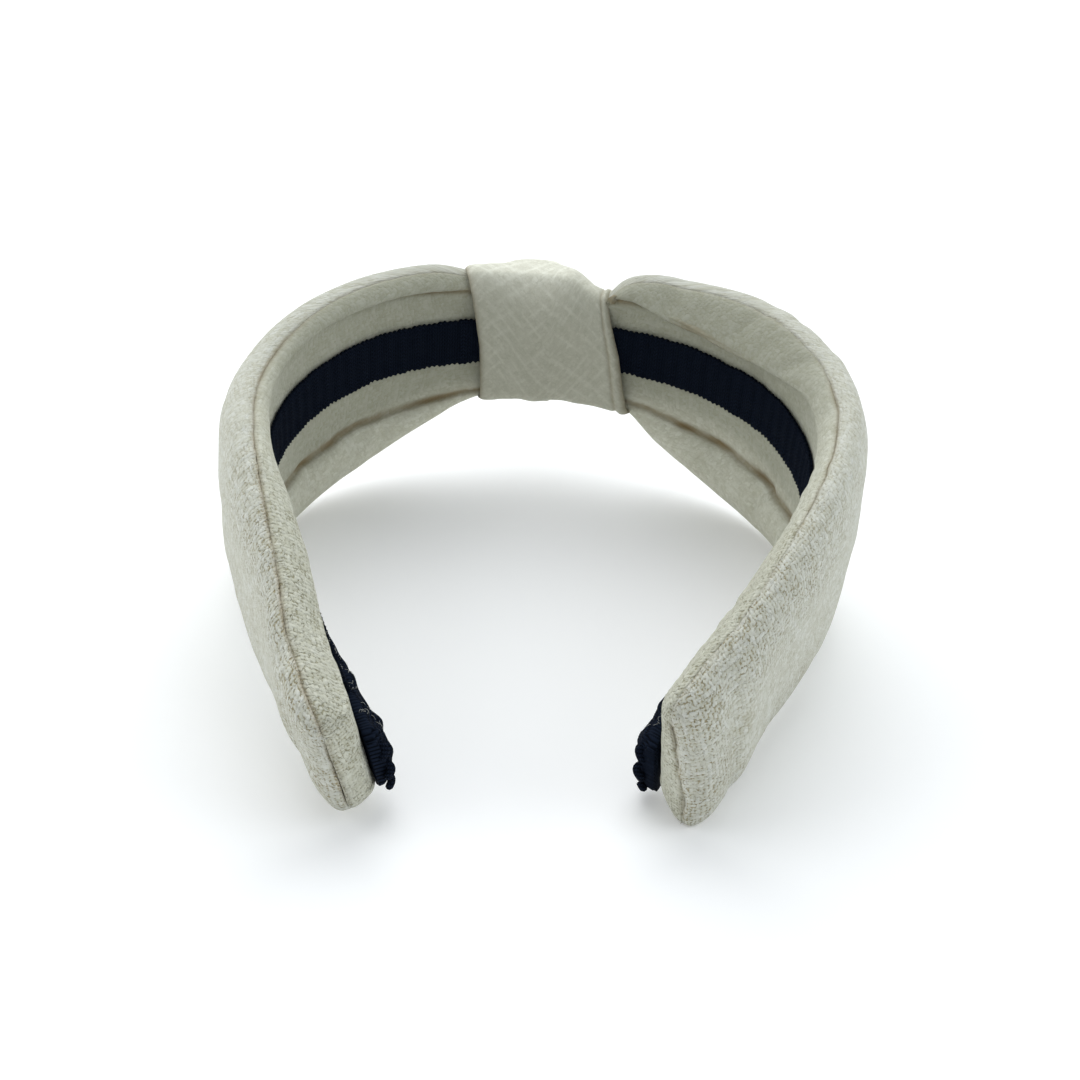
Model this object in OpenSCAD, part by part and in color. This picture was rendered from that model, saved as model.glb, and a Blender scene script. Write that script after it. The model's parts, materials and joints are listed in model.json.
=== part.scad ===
// Knotted headband: a sprung core, padded and covered in woven fabric, with a turban knot
// at the crown and a grip ribbon along the inside.
// It lies on its lower edge, with +Z up, the knot towards +Y and the tips towards -Y.
// Shapes are drawn in the band's own plane: a station is the distance along the core line
// from the middle of the knot, negative on the left. At a station, n points away from the
// head and z points to the band's upper edge.

/* [Plan curve] */
// Radius of the core line over the crown
crown_r = 80; // [76:1:84]
// Radius of the core line beside the crown
side_r = 52; // [51:0.2:53]
// Radius of the core line at the left temple
temple_r_left = 140; // [120:5:160]
// Radius of the core line at the right temple
temple_r_right = 115; // [110:5:150]
// Radius of the core line in the left arm
arm_r_left = 450; // [300:10:500]
// Radius of the core line in the right arm
arm_r_right = 300; // [260:10:500]
// Length of the left half of the band along the core line
half_left = 184; // [178:1:186]
// Length of the right half of the band along the core line
half_right = 179; // [176:1:184]
// Station of the flex joint in each half
flex_at = 58; // [54:1:62]

/* [Edges] */
// Height of both edges at the knot
knot_edge = 16; // [15.5:0.5:17]
// Height of the upper edge in the left wing
wing_top_left = 21.5; // [20:0.5:24]
// Height of the upper edge in the right wing
wing_top_right = 26; // [22:0.5:27]
// Depth of the lower edge in the left wing
wing_low_left = 31; // [26:0.5:32]
// Depth of the lower edge in the right wing
wing_low_right = 32.5; // [26:0.5:33]
// Height of the upper edge at the left tip
tip_top_left = 13; // [12:0.5:15]
// Height of the upper edge at the right tip
tip_top_right = 15; // [12:0.5:16]
// Depth of the lower edge at the left tip
tip_low_left = 14.5; // [13:0.5:16]
// Depth of the lower edge at the right tip
tip_low_right = 16.5; // [13:0.5:18]

/* [Padding] */
// Outer padding over the middle of the wings
wing_pad = 5.5; // [5:0.5:7]
// Outer padding in the arms
arm_pad = 4.5; // [4:0.5:6]
// Depth of the lining's face inside the core line, in the wings
wing_face = 1.5; // [1.5:0.1:2]
// Depth of the lining's face inside the core line, in the arms
arm_face = 3.5; // [3:0.5:4.5]
// Thickness of the woven fabric with its backing
cloth = 1; // [0.8:0.1:1.1]

/* [Core and ribbon] */
// Thickness of the spring core
core_t = 2; // [1.6:0.1:2.2]
// Half the height of the spring core in the crown and wings
core_half = 15.6; // [14:0.2:16]
// Half the height of the spring core at the tips
core_half_tip = 9.6; // [9:0.2:10]
// Width of the grip ribbon
ribbon_w = 12; // [10:0.5:13]
// Thickness of the grip ribbon
ribbon_t = 1.2; // [1:0.1:1.3]
// Diameter of the seam thread
thread_d = 0.8; // [0.6:0.1:0.8]

/* [Knot] */
// Station where the wrap begins on the left
wrap_left = -17; // [-18:0.5:-16]
// Station where the wrap ends on the right
wrap_right = 18; // [16:0.5:19]
// Thickness of the wrap
wrap_t = 1.4; // [1.2:0.1:1.6]
// Height of the puffed knot over the cover
knot_puff = 7; // [5:0.5:8]

/* [Rest] */
// Tilt of the band's plane as it lies on its lower edge
rest_tilt = 8.9; // [8.6:0.1:9.2]

/* [Hidden] */

// Place of the band's own origin when it rests on its lower edge
rest_at = [-0.01, -7.17, 26.15];
// Distance from the band's own origin to the core line at the knot
crown_y = 71.7;
// Lengths of the stretches of one half of the core line, and their radii on the left and on the right
STRETCH = [24, 76, 24, 100];
RADII_LEFT = [crown_r, side_r, temple_r_left, arm_r_left];
RADII_RIGHT = [crown_r, side_r, temple_r_right, arm_r_right];
// Plane where the cover and the lining meet, just outside the core
seam_n = core_t + 0.1;
// Distance from the seam plane to the edge of each panel
seam_gap = 0.5;
// Clearance between layers
clear = 0.1;
// Length over which each tip rounds off
tip_round = 6;
// Power that squares off the padded cross-section
square = 0.7;
// Where the arms' solids begin, and the slope of the wedge left for closing
arm_gap = 0.3;
arm_wedge = 0.07;
// Clearance between the core's edge and the crease in the lining
crease_gap = 0.6;
// How much the corners of a tip round off in height
tip_corner = 2.5;
// Distance of the flex joint's axis outside the core line
flex_n = 7.2;
// Height of the ribbon's middle
ribbon_z = 0.8;
// Where a ribbon's folded end starts and stops, measured back from the tip, its height and thickness
fold_start = 12;
fold_end = 0.8;
fold_half = 10;
fold_t = 5;
// Gap inside the wrap, depth of its inner face, and lean of its right edge
wrap_clear = 0.5;
wrap_bed = 3.1;
wrap_slant = 2;
// Number of facets along one panel's curve and one roll, and round and across the wrap
PANEL = 8;
ROLL = 4;
WRAP_TURN = 28;
WRAP_ACROSS = 6;
// Distance between rings
step = 8;

CREAM = "#bebdb4";
LINING = "#b4b4a8";
NAVY = "#161c2a";
THREAD = "#9c9080";
FOAM = "#e8e2cf";
CORE = "#d8d8d4";

// Edge heights along each half, as [station, height]
TOP_LEFT = [
    [0, knot_edge], [17, knot_edge + 1], [30, wing_top_left - 1], [55, wing_top_left],
    [85, wing_top_left - 0.5], [115, wing_top_left + 0.5], [150, 17], [190, tip_top_left - 1]
];
TOP_RIGHT = [
    [0, knot_edge], [17, knot_edge + 1], [30, wing_top_right - 3], [50, wing_top_right],
    [80, wing_top_right - 2.5], [115, wing_top_right - 2.5], [150, 20.5], [190, tip_top_right - 1]
];
LOW_LEFT = [
    [0, knot_edge], [17, knot_edge + 1], [30, 23], [50, wing_low_left - 1], [80, wing_low_left - 0.5],
    [115, 18.5], [150, 14.5], [190, tip_low_left]
];
LOW_RIGHT = [
    [0, knot_edge], [17, knot_edge + 1.5], [28, 26], [50, wing_low_right], [80, wing_low_right - 1.5],
    [115, 23], [150, 19], [190, tip_low_right]
];
// Padding outside the seam plane, depth of the lining's face, swell of the rolls, height of the core
PAD = [
    [0, 3], [17, 3.2], [45, wing_pad - 2], [70, wing_pad - 1], [95, wing_pad + 0.5], [125, arm_pad + 0.8],
    [155, arm_pad], [190, arm_pad + 0.5]
];
FACE = [[0, wing_face], [80, wing_face], [125, arm_face], [190, arm_face]];
SWELL = [[0, 0.6], [17, 1], [35, 3], [60, 3.5], [90, 2.5], [125, 1.2], [190, 0.8]];
CORE_HALF = [
    [0, knot_edge - 2.6], [17, knot_edge - 2.6], [40, core_half], [90, core_half], [150, core_half - 4],
    [190, core_half_tip]
];

function flip(list) = [for (i = [len(list) - 1:-1:0]) list[i]];
function mix(a, b, t) = a + (b - a) * t;
function power(x, p) = sign(x) * pow(abs(x), p);

// Slope of a smooth curve at its point i
function slope(p, i) =
    i == 0 || i == len(p) - 1 ? 0 : (p[i + 1][1] - p[i - 1][1]) / (p[i + 1][0] - p[i - 1][0]);

// Value at station s of the smooth curve through the points p
function curve(p, s, i = 0) =
    s > p[i + 1][0] && i < len(p) - 2 ? curve(p, s, i + 1) :
    let (w = p[i + 1][0] - p[i][0])
    let (t = (s - p[i][0]) / w)
    mix(p[i][1], p[i + 1][1], t * t * (3 - 2 * t))
    + w * t * (1 - t) * (slope(p, i) * (1 - t) - slope(p, i + 1) * t);

// Core line after s along one half: [x, y, heading]
function plan(s, radii, i = 0, at = [0, crown_y], a = 0) =
    let (b = a + min(s, STRETCH[i]) / radii[i] * 180 / PI)
    let (to = at + radii[i] * [sin(b) - sin(a), cos(b) - cos(a)])
    s <= STRETCH[i] ? [to[0], to[1], b] : plan(s - STRETCH[i], radii, i + 1, to, b);

// Point at a signed station, n outside the core line and at height z
function place(s, n, z) =
    let (c = plan(abs(s), s < 0 ? RADII_LEFT : RADII_RIGHT))
    [(s < 0 ? -1 : 1) * (c[0] + n * sin(c[2])), c[1] + n * cos(c[2]), z];

// Ring of points at station s from a list of [n, z]; the first ring of an arm leans away from the
// crown by a wedge, so that the arm can close
function ring(s, section, arm) = [for (p = section)
    let (lean = arm && abs(s) == flex_at ? sign(s) * (arm_gap + arm_wedge * (flex_n - p[0])) : 0)
    place(s + lean, p[0], p[1])];

// Length of the half that a signed station or side is on
function half(s) = s < 0 ? half_left : half_right;

// Rounding of the tip, from 1 down to nearly nothing at the very end
function tip(s) =
    let (u = max(0, (abs(s) - half(s) + tip_round) / (tip_round + 0.1)))
    sqrt(1 - u * u);

function top(s) = curve(s < 0 ? TOP_LEFT : TOP_RIGHT, abs(s)) - tip_corner * (1 - tip(s));
function low(s) = -curve(s < 0 ? LOW_LEFT : LOW_RIGHT, abs(s)) + tip_corner * (1 - tip(s));
function pad(s) = curve(PAD, abs(s)) * tip(s);
function face(s) = mix(0, curve(FACE, abs(s)), tip(s));
function swell(s) = curve(SWELL, abs(s)) * tip(s);
function core_z(s) = curve(CORE_HALF, abs(s));

// Outer half of the section from the upper edge to the lower one, inset from the fabric's face
function outer(s, inset) =
    let (hi = top(s) - inset, lo = low(s) + inset, depth = max(pad(s) - inset, 0.05))
    [for (i = [0:PANEL]) let (a = 90 - 180 * i / PANEL)
        [seam_n + seam_gap + depth * power(cos(a), square),
         mix(lo, hi, (1 + power(sin(a), square)) / 2)]];

// One roll of the inner half, from the edge at height z to the crease at height c
function roll(s, z, c, inset) =
    let (bed = min(inset - face(s), seam_n - seam_gap - clear), swelling = max(swell(s) - inset / 2, 0))
    [for (i = [0:ROLL]) let (t = i / ROLL)
        [mix(seam_n - seam_gap, bed, t) - swelling * sin(180 * t), mix(z, c, (1 - cos(180 * t)) / 2)]];

// Inner half of the section from the upper edge to the lower one
function inner(s, inset) = concat(
    roll(s, top(s) - inset, core_z(s) + crease_gap, inset),
    flip(roll(s, low(s) + inset, -core_z(s) - crease_gap, inset))
);

// Rectangle of a section, from n1 out to n2 and z1 up to z2
function slab(n1, n2, z1, z2) = [[n2, z2], [n2, z1], [n1, z1], [n1, z2]];

// Sections of the layers at station s
function cover_section(s) = concat(outer(s, 0), flip(outer(s, cloth)));
function lining_section(s) = concat(flip(inner(s, 0)), inner(s, cloth));
function foam_section(s) = outer(s, cloth + clear);
function wadding_section(s) =
    let (face = inner(s, cloth + clear), n = seam_n - clear, z = core_z(s) + 2 * clear)
    let (back = function(from, up) [
        for (i = [0:ROLL]) i < ROLL - 1 ? [n, face[abs(from - i)][1]] : [i == ROLL ? -clear : n, up * z]
    ])
    concat(flip(face), back(0, 1), flip(back(2 * ROLL + 1, -1)));
function core_section(s) = slab(0, core_t, -core_z(s), core_z(s));
function ribbon_section(s) =
    let (n = -face(s) - clear)
    slab(n - ribbon_t, n, ribbon_z - ribbon_w / 2, ribbon_z + ribbon_w / 2);
function thread_section(z) = [for (i = [0:4])
    [seam_n + thread_d / 2 * cos(72 * i), z - thread_d / 2 * sin(72 * i)]];
function top_thread_section(s) = thread_section(top(s) - thread_d / 2 - clear);
function low_thread_section(s) = thread_section(low(s) + thread_d / 2 + clear);

// Fold of the ribbon's end at the tip, thickest in its middle
function fold_section(s) =
    let (u = (half(s) - fold_end - abs(s)) / (fold_start - fold_end), n = -face(s) - 2 * clear)
    let (thick = 1 + (fold_t - 1) * sqrt(sin(180 * u)), reach = fold_half - 2 * pow(2 * u - 1, 2))
    [for (i = [0:5]) let (a = 90 + 36 * i)
        [n + thick * power(cos(a), square), -reach * power(sin(a), square)]];

module rest() translate(rest_at) rotate([rest_tilt, 0, 0]) children();

// Triangles that fill a ring of k points, each rung joining a point to the one as far from the ring's end
function ladder(k) = [for (j = [0:ceil(k / 2) - 2])
    each [[j, j + 1, k - 1 - j], if (j + 1 < k - 2 - j) [j + 1, k - 2 - j, k - 1 - j]]];

// Solid skinned over a row of rings; a closed row joins its last ring to its first
module skin(rings, closed = false) {
    k = len(rings[0]);
    m = len(rings);
    sides = [for (i = [0:m - (closed ? 1 : 2)], j = [0:k - 1])
        let (a = i * k, b = (i + 1) % m * k, j2 = (j + 1) % k)
        each [[a + j, a + j2, b + j2], [a + j, b + j2, b + j]]];
    last = (m - 1) * k;
    ends = closed ? [] : [for (c = ladder(k)) each [flip(c), [for (j = c) j + last]]];
    rest() polyhedron([for (r = rings) each r], concat(sides, ends), convexity = 10);
}

// Stations from one end to the other in steps near the given length
function stations(from, to, step) =
    let (count = ceil(abs(to - from) / step))
    [for (i = [0:count]) mix(from, to, i / count)];

// Rows of stations run from left to right, so a left arm's row is turned round
function to_side(row, side) = side < 0 ? flip([for (s = row) -s]) : row;

// Stations of the crown, of an arm's inner layers, of its panels with their rounded tip, of its ribbon
// and of its ribbon's fold; layers share their stations, so that they nest without touching
CROWN_ROW = stations(-flex_at, flex_at, step);
function straight_row(side) = stations(flex_at, half(side) - tip_round, step);
function arm_row(side) = to_side(straight_row(side), side);
function panel_row(side) = to_side(concat(
    straight_row(side), [for (u = [0.5, 0.8, 1]) half(side) - tip_round * (1 - u)]
), side);
function ribbon_row(side) =
    let (end = half(side) - fold_start - clear)
    to_side(concat([for (s = straight_row(side)) if (s < end - 1) s], end), side);
function fold_row(side) = to_side(stations(half(side) - fold_start, half(side) - fold_end, 2.5), side);

// One layer of the band, from its row of stations and the section at each
module layer(row, section, arm = true) skin([for (s = row) ring(s, section(s), arm)]);

// Thread of the seam down the end of a tip
module end_seam(side)
    let (s = side * half(side))
    rest() translate(place(s + side * (thread_d / 2 + clear), seam_n, low(s) + 1))
        cylinder(d = thread_d, h = top(s) - low(s) - 2, $fn = 16);

// Point of the knot wrap at angle a round the band, w across the wrap, grown outwards from its inside
function wrap_point(a, w, grow) =
    let (z = power(sin(a), square))
    let (s = mix(wrap_left, wrap_right - wrap_slant * z, w))
    let (puff = knot_puff * pow(sin(180 * w), 2) * max(cos(a), 0))
    let (n = cos(a) > 0
        ? seam_n + seam_gap + (pad(s) + wrap_clear + grow + puff) * power(cos(a), square)
        : seam_n + seam_gap + (seam_n + seam_gap + wrap_bed + grow) * power(cos(a), square / 2))
    place(s, n, z * ((z > 0 ? top(s) : -low(s)) + wrap_clear + grow));

// Filling that puffs the knot up, between the cover and the wrap
function filling_ring(w) =
    let (s = mix(wrap_left, wrap_right, w), steps = 6)
    let (far = 0.9 * knot_puff * pow(sin(180 * w), 2) + wrap_clear - clear)
    concat(
        [for (i = [0:steps]) let (a = 50 - 100 * i / steps)
            filling_point(s, a, mix(wrap_clear - clear, far, cos(1.8 * a)))],
        [for (i = [steps:-1:0]) let (a = 50 - 100 * i / steps) filling_point(s, a, clear)]
    );
function filling_point(s, a, out) =
    let (z = power(sin(a), square))
    place(s, seam_n + seam_gap + (pad(s) + out) * power(cos(a), square), z * (z > 0 ? top(s) : -low(s)));

module spring_core_crown() color(CORE) layer(CROWN_ROW, function(s) core_section(s), false);
module foam_pad_crown() color(FOAM) layer(CROWN_ROW, function(s) foam_section(s), false);
module inner_wadding_crown() color(FOAM) layer(CROWN_ROW, function(s) wadding_section(s), false);
module cover_panel_crown() color(CREAM) layer(CROWN_ROW, function(s) cover_section(s), false);
module lining_panel_crown() color(LINING) layer(CROWN_ROW, function(s) lining_section(s), false);
module seam_thread_top_crown() color(THREAD) layer(CROWN_ROW, function(s) top_thread_section(s), false);
module seam_thread_bottom_crown() color(THREAD) layer(CROWN_ROW, function(s) low_thread_section(s), false);
module grip_ribbon_crown() color(NAVY) layer(CROWN_ROW, function(s) ribbon_section(s), false);

module knot_filling() color(FOAM) skin([for (w = [0.15:0.14:0.85]) filling_ring(w)]);

module knot_wrap() color(CREAM)
    skin([for (i = [0:WRAP_TURN - 1]) let (a = 360 * i / WRAP_TURN) concat(
        [for (j = [0:WRAP_ACROSS]) wrap_point(a, j / WRAP_ACROSS, wrap_t)],
        [for (j = [WRAP_ACROSS:-1:0]) wrap_point(a, j / WRAP_ACROSS, 0)]
    )], closed = true);

module arm_core(side) color(CORE) layer(arm_row(side), function(s) core_section(s));
module arm_foam(side) color(FOAM) layer(arm_row(side), function(s) foam_section(s));
module arm_wadding(side) color(FOAM) layer(arm_row(side), function(s) wadding_section(s));
module arm_cover(side) color(CREAM) layer(panel_row(side), function(s) cover_section(s));
module arm_lining(side) color(LINING) layer(panel_row(side), function(s) lining_section(s));
module arm_top_thread(side) color(THREAD) layer(panel_row(side), function(s) top_thread_section(s));
module arm_low_thread(side) color(THREAD) layer(panel_row(side), function(s) low_thread_section(s));
module arm_end_seam(side) color(THREAD) end_seam(side);
module arm_ribbon(side) color(NAVY) layer(ribbon_row(side), function(s) ribbon_section(s));
module arm_fold(side) color(NAVY) layer(fold_row(side), function(s) fold_section(s));

spring_core_crown();
foam_pad_crown();
inner_wadding_crown();
cover_panel_crown();
lining_panel_crown();
seam_thread_top_crown();
seam_thread_bottom_crown();
grip_ribbon_crown();
knot_filling();
knot_wrap();
arm_core(-1);  // spring_core_left_arm
arm_foam(-1);  // foam_pad_left_arm
arm_wadding(-1);  // inner_wadding_left_arm
arm_cover(-1);  // cover_panel_left_arm
arm_lining(-1);  // lining_panel_left_arm
arm_top_thread(-1);  // seam_thread_top_left_arm
arm_low_thread(-1);  // seam_thread_bottom_left_arm
arm_end_seam(-1);  // end_seam_left_arm
arm_ribbon(-1);  // grip_ribbon_left_arm
arm_fold(-1);  // ribbon_end_fold_left_arm
arm_core(1);  // spring_core_right_arm
arm_foam(1);  // foam_pad_right_arm
arm_wadding(1);  // inner_wadding_right_arm
arm_cover(1);  // cover_panel_right_arm
arm_lining(1);  // lining_panel_right_arm
arm_top_thread(1);  // seam_thread_top_right_arm
arm_low_thread(1);  // seam_thread_bottom_right_arm
arm_end_seam(1);  // end_seam_right_arm
arm_ribbon(1);  // grip_ribbon_right_arm
arm_fold(1);  // ribbon_end_fold_right_arm
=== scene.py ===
"""The looks of a knotted headband: woven panels, seams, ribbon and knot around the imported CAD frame.

Shapes are worked out in millimetres in the band's own plane and turned into the row frame at the end.
A half is -1 for the left and 1 for the right. A station is the distance along a half's core line from the
middle of the knot; at a station, n points away from the head and z towards the band's upper edge.
"""

from collections import namedtuple
import json
import math

import bpy
import numpy as np
from mathutils import Matrix, Vector


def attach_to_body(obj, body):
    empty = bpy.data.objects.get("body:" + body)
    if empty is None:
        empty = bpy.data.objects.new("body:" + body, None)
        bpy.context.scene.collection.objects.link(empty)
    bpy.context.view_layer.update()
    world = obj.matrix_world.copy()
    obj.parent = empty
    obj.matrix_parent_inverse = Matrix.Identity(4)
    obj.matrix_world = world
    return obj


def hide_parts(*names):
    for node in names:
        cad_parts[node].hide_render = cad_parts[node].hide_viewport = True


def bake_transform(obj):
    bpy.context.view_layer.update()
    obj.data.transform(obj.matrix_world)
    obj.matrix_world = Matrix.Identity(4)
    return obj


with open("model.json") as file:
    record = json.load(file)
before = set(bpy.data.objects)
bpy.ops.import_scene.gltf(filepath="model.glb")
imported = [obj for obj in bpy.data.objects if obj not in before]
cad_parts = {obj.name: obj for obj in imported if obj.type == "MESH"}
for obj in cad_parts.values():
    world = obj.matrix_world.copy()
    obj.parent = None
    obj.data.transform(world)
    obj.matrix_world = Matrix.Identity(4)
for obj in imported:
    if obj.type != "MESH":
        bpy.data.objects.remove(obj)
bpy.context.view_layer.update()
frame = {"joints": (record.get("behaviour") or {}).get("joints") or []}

PI = math.pi

# The plan curve: lengths of its stretches, and their radii on each half
STRETCH = (24, 76, 24, 100)
RADII = {-1: (80, 52, 140, 450), 1: (80, 52, 115, 300)}
# Height of the core line at the middle of the knot, and length of each half
CROWN_Y = 71.7
HALF = {-1: 184, 1: 179}
# Where the flex joints cross the band
FLEX_AT = 58
FLEX_N = 7.2
# Stations between which the bending of a flex joint would be spread; no piece is bent here
BLEND_FROM, BLEND_TO = 20.0, 100.0
SIDE_NAME = {-1: "left", 1: "right"}

# Each table below gives a smooth curve through (station, value), for each half where they differ.
# Height of the upper edge above the core line's middle, and depth of the lower edge below it
TOP = {
    -1: ((0, 16), (17, 17), (30, 19.8), (55, 20.9), (85, 20.8), (115, 22), (150, 17), (190, 12)),
    1: ((0, 16), (6, 15), (11, 12), (15, 16.4), (20, 19), (30, 20.8), (60, 25), (85, 25.6), (115, 24.4),
        (150, 20.5), (190, 14)),
}
LOW = {
    -1: ((0, 16), (17, 17), (30, 23), (50, 30), (80, 30.5), (115, 18.5), (150, 14.5), (190, 13.4)),
    1: ((0, 16), (17, 17.5), (28, 26), (50, 32.5), (80, 31), (115, 23), (150, 19), (190, 17.8)),
}
# Thickness of the outer padding, and depth of the inner face
PAD = {
    -1: ((0, 3), (17, 3.2), (45, 3), (70, 3.4), (95, 5.4), (125, 4.8), (155, 3.4), (190, 4)),
    1: ((0, 3), (17, 3.2), (45, 3), (70, 3.2), (95, 5.4), (125, 5.6), (155, 5), (190, 6)),
}
FACE = {
    -1: ((0, 1.5), (80, 1.5), (125, 2.4), (160, 3), (190, 2.8)),
    1: ((0, 1.5), (80, 1.5), (115, 3.8), (160, 4), (190, 2.6)),
}
# How far the upper and the lower roll swell inwards, and how far the upper one sags
SWELL_TOP = {
    -1: ((0, 0.6), (17, 1.5), (30, 3.2), (50, 4), (80, 3.2), (110, 2.8), (130, 3.8), (148, 3.6), (165, 2),
         (190, 0.8)),
    1: ((0, 0.6), (14, 2), (26, 5), (45, 7), (65, 6), (85, 3.6), (110, 1.6), (190, 0.8)),
}
SWELL_LOW = {
    -1: ((0, 0.6), (17, 1.2), (35, 3.6), (60, 4.6), (90, 3), (120, 1.4), (160, 1.6), (184, 3.2)),
    1: ((0, 0.6), (17, 1.2), (35, 3.6), (60, 4.6), (90, 3), (120, 1.4), (160, 1.6), (184, 3.6)),
}
SAG = {
    -1: ((0, 0), (20, 0.5), (40, 1), (70, 0.5), (100, 0), (190, 0)),
    1: ((0, 0), (16, 0), (30, 4), (50, 6), (66, 4), (90, 0.5), (190, 0)),
}
# Distance of the two creases from the middle of the inner face
CREASE = ((0, 14), (17, 14), (40, 16.2), (90, 16.2), (150, 12.2), (190, 10.2))
# How far round from the crests, on the lining's side, the edge seams lie
SEAM_IN = ((0, 1.5), (40, 2.5), (80, 3.2), (120, 1.5), (150, 0.5), (190, 0))
# How far out of SEAM_N the seams run towards the tips, and how much further the lower one does
SEAM_OUT = {-1: ((0, 0), (105, 0), (150, 1.5), (190, 2.4)), 1: ((0, 0), (150, 0), (190, -1.4))}
SEAM_LEAN = {-1: ((0, 0), (150, 0), (190, -0.6)), 1: ((0, 0), (145, 0), (190, 4.6))}
SEAM_N = 2.1

# Length over which a tip is rounded, and how much lower its two corners end
TIP_ROUND = 8
TIP_CORNER = (4.5, 1.5)
# Exponent of the outer side's outline, where 1 is an ellipse, and how much squarer a tip's gets
SQUARE = 0.7
TIP_SQUARE = {-1: 0.22, 1: 0.0}
# Thickness of the woven cloth
CLOTH = 0.8
# How far the lower corner of each tip's end lies back from the upper one
TIP_SLANT = {-1: 0.0, 1: 2.6}
# How far a tip's cross-section leans: its upper half outwards, its lower half inwards
TIP_TWIST = {-1: 2.3, 1: 0.0}
# Height of a tip's corners, for the slant and the twist
TIP_HEIGHT = 12

# Loops at a ribbon's folded end: distance back from the tip, height, size and how far they stand out
FOLD_LOOPS = ((6.5, -9, 2.0, 3.4), (3.4, -11.5, 1.6, 2.6), (5.0, -5, 1.9, 3.6), (2.8, -8, 1.6, 2.8),
              (9, -7.5, 1.8, 3.5), (3.4, -3.5, 1.5, 2.8))
# The wad of folds there: how thick it gets, how far it drops, its length and where along it the growth begins
FOLD_DEPTH = {-1: 3.0, 1: 3.6}
FOLD_DROP = {-1: 6.0, 1: 10.0}
FOLD_LENGTH = {-1: 29.0, 1: 22.0}
FOLD_FROM = {-1: -0.08, 1: 0.1}

LINT_COUNT = 36
LINT_RADIUS = 0.028

# The ribbon's width, thickness and height above the middle, the length of a scallop along its edges, and the
# pitches of its ribs and courses
RIBBON_W = 12
RIBBON_T = 1.2
RIBBON_Z = 0.8
SCALLOP = 1.3
RIB = 1.0
COURSE = 0.65
# Room between the ribbon and the lining
RIBBON_GAP = 0.15

# The wrap's two edges, as stations with the left half negative, and how much it puffs up
WRAP_FROM, WRAP_TO = -18.2, 16.6
WRAP_PUFF = 6
# How far its outside and its inside lie off their bed, and the width of its hem
WRAP_SKINS = (1.3, 0.1)
HEM = 2.4
# How far its right and its left edge lean over their height, and how much more above the middle
EDGE_LEAN = (3.2, 0.8)
EDGE_HOOK = (2.0, 1.6)

# First seed of each group of random shapes
PANEL_SEED, RIBBON_SEED, FOLD_SEED, WRAP_SEED, LINT_SEED = 40, 70, 90, 110, 120


def smooth_step(x, lo, hi):
    t = np.clip((x - lo) / (hi - lo), 0, 1)
    return t * t * (3 - 2 * t)


def power(x, exponent):
    """Power of a number's size, with the number's sign."""
    return np.sign(x) * np.abs(x) ** exponent


def hill(x, width):
    """Bell curve of height 1 about 0."""
    return np.exp(-(x / width) ** 2)


def curve(points, s):
    """Value at station s of the smooth curve through the points."""
    x, y = np.array(points, float).T
    slope = np.zeros_like(y)
    slope[1:-1] = (y[2:] - y[:-2]) / (x[2:] - x[:-2])
    i = np.clip(np.searchsorted(x, s, side="right") - 1, 0, len(x) - 2)
    w = x[i + 1] - x[i]
    t = np.clip((s - x[i]) / w, 0, 1)
    return (y[i] + (y[i + 1] - y[i]) * t * t * (3 - 2 * t)
            + w * t * (1 - t) * (slope[i] * (1 - t) - slope[i + 1] * t))


def core_line(half, s):
    """x, y and heading of a half's core line at stations s; before the knot's middle it runs straight on."""
    s = np.asarray(s, float)
    x, y, a = np.zeros_like(s), np.full_like(s, CROWN_Y), np.zeros_like(s)
    for length, r in zip(STRETCH, RADII[half]):
        run = np.clip(s, 0, length)
        b = a + run / r
        x, y, a = x + r * (np.sin(b) - np.sin(a)), y + r * (np.cos(b) - np.cos(a)), b
        s = s - run
    return half * x, y, a


def place(half, s, n, z):
    """Points in the band's plane; a station below 0 is on the other half."""
    s, n, z = np.broadcast_arrays(np.asarray(s, float), n, z)
    slant = TIP_SLANT[half] * smooth_step(np.abs(s), HALF[half] - 40, HALF[half])
    x, y, a = core_line(half, np.abs(s) - slant * (TIP_HEIGHT - z) / (2 * TIP_HEIGHT))
    side = np.where(s < 0, -1, 1)
    n = n + TIP_TWIST[half] * smooth_step(np.abs(s), HALF[half] - 44, HALF[half] - 5) * z / TIP_HEIGHT
    return np.stack([side * (x + half * n * np.sin(a)), y + n * np.cos(a), z], -1)


# The band's plane lies tilted in the row frame: the flex joints say how, and where
right_flex = next(j for j in frame["joints"] if j["name"] == "right_arm_flex")
TILT = math.atan2(-right_flex["axis"][1], right_flex["axis"][2])
TURN = np.array([[1, 0, 0], [0, math.cos(TILT), -math.sin(TILT)], [0, math.sin(TILT), math.cos(TILT)]])
SHIFT = np.array(right_flex["pos_m"]) * 1000 - TURN @ place(1, FLEX_AT, FLEX_N, 0)


def to_row(points):
    """Band-plane millimetres to metres in the row frame."""
    return (np.asarray(points, float) @ TURN.T + SHIFT) / 1000


# ------ camera, floor and light

# Degrees round the band, above its plane and rolled; distance from the plane's origin and lens in mm
CAMERA_AZIMUTH, CAMERA_ELEVATION, CAMERA_ROLL = 1.2, 39.3, 3.6
CAMERA_DISTANCE = 376.7
CAMERA_LENS = 60.4
CAMERA_SHIFT = (0.0045, -0.0102)

WORLD_TINT = (0.92, 0.96, 1.0, 1)
WORLD_STRENGTH = 0.48
# Name, place, aim, size, power and tint
LIGHTS = (
    ("top_light", (-0.1, 0.62, 0.78), (0, 0.02, 0.02), 1.2, 7.6, (0.97, 0.99, 1.0)),
    ("left_light", (-0.75, -0.15, 0.45), (0, 0, 0.02), 0.7, 2.1, (0.95, 0.98, 1.0)),
    ("right_light", (0.75, -0.1, 0.45), (0, 0, 0.02), 0.7, 1.9, (0.9, 0.96, 1.0)),
)
# The padding's lowest point presses 0.15 mm into the floor
FLOOR_Z = -0.0006
FLOOR_HALF = 3
FLOOR_GLOW = 0.12


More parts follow.
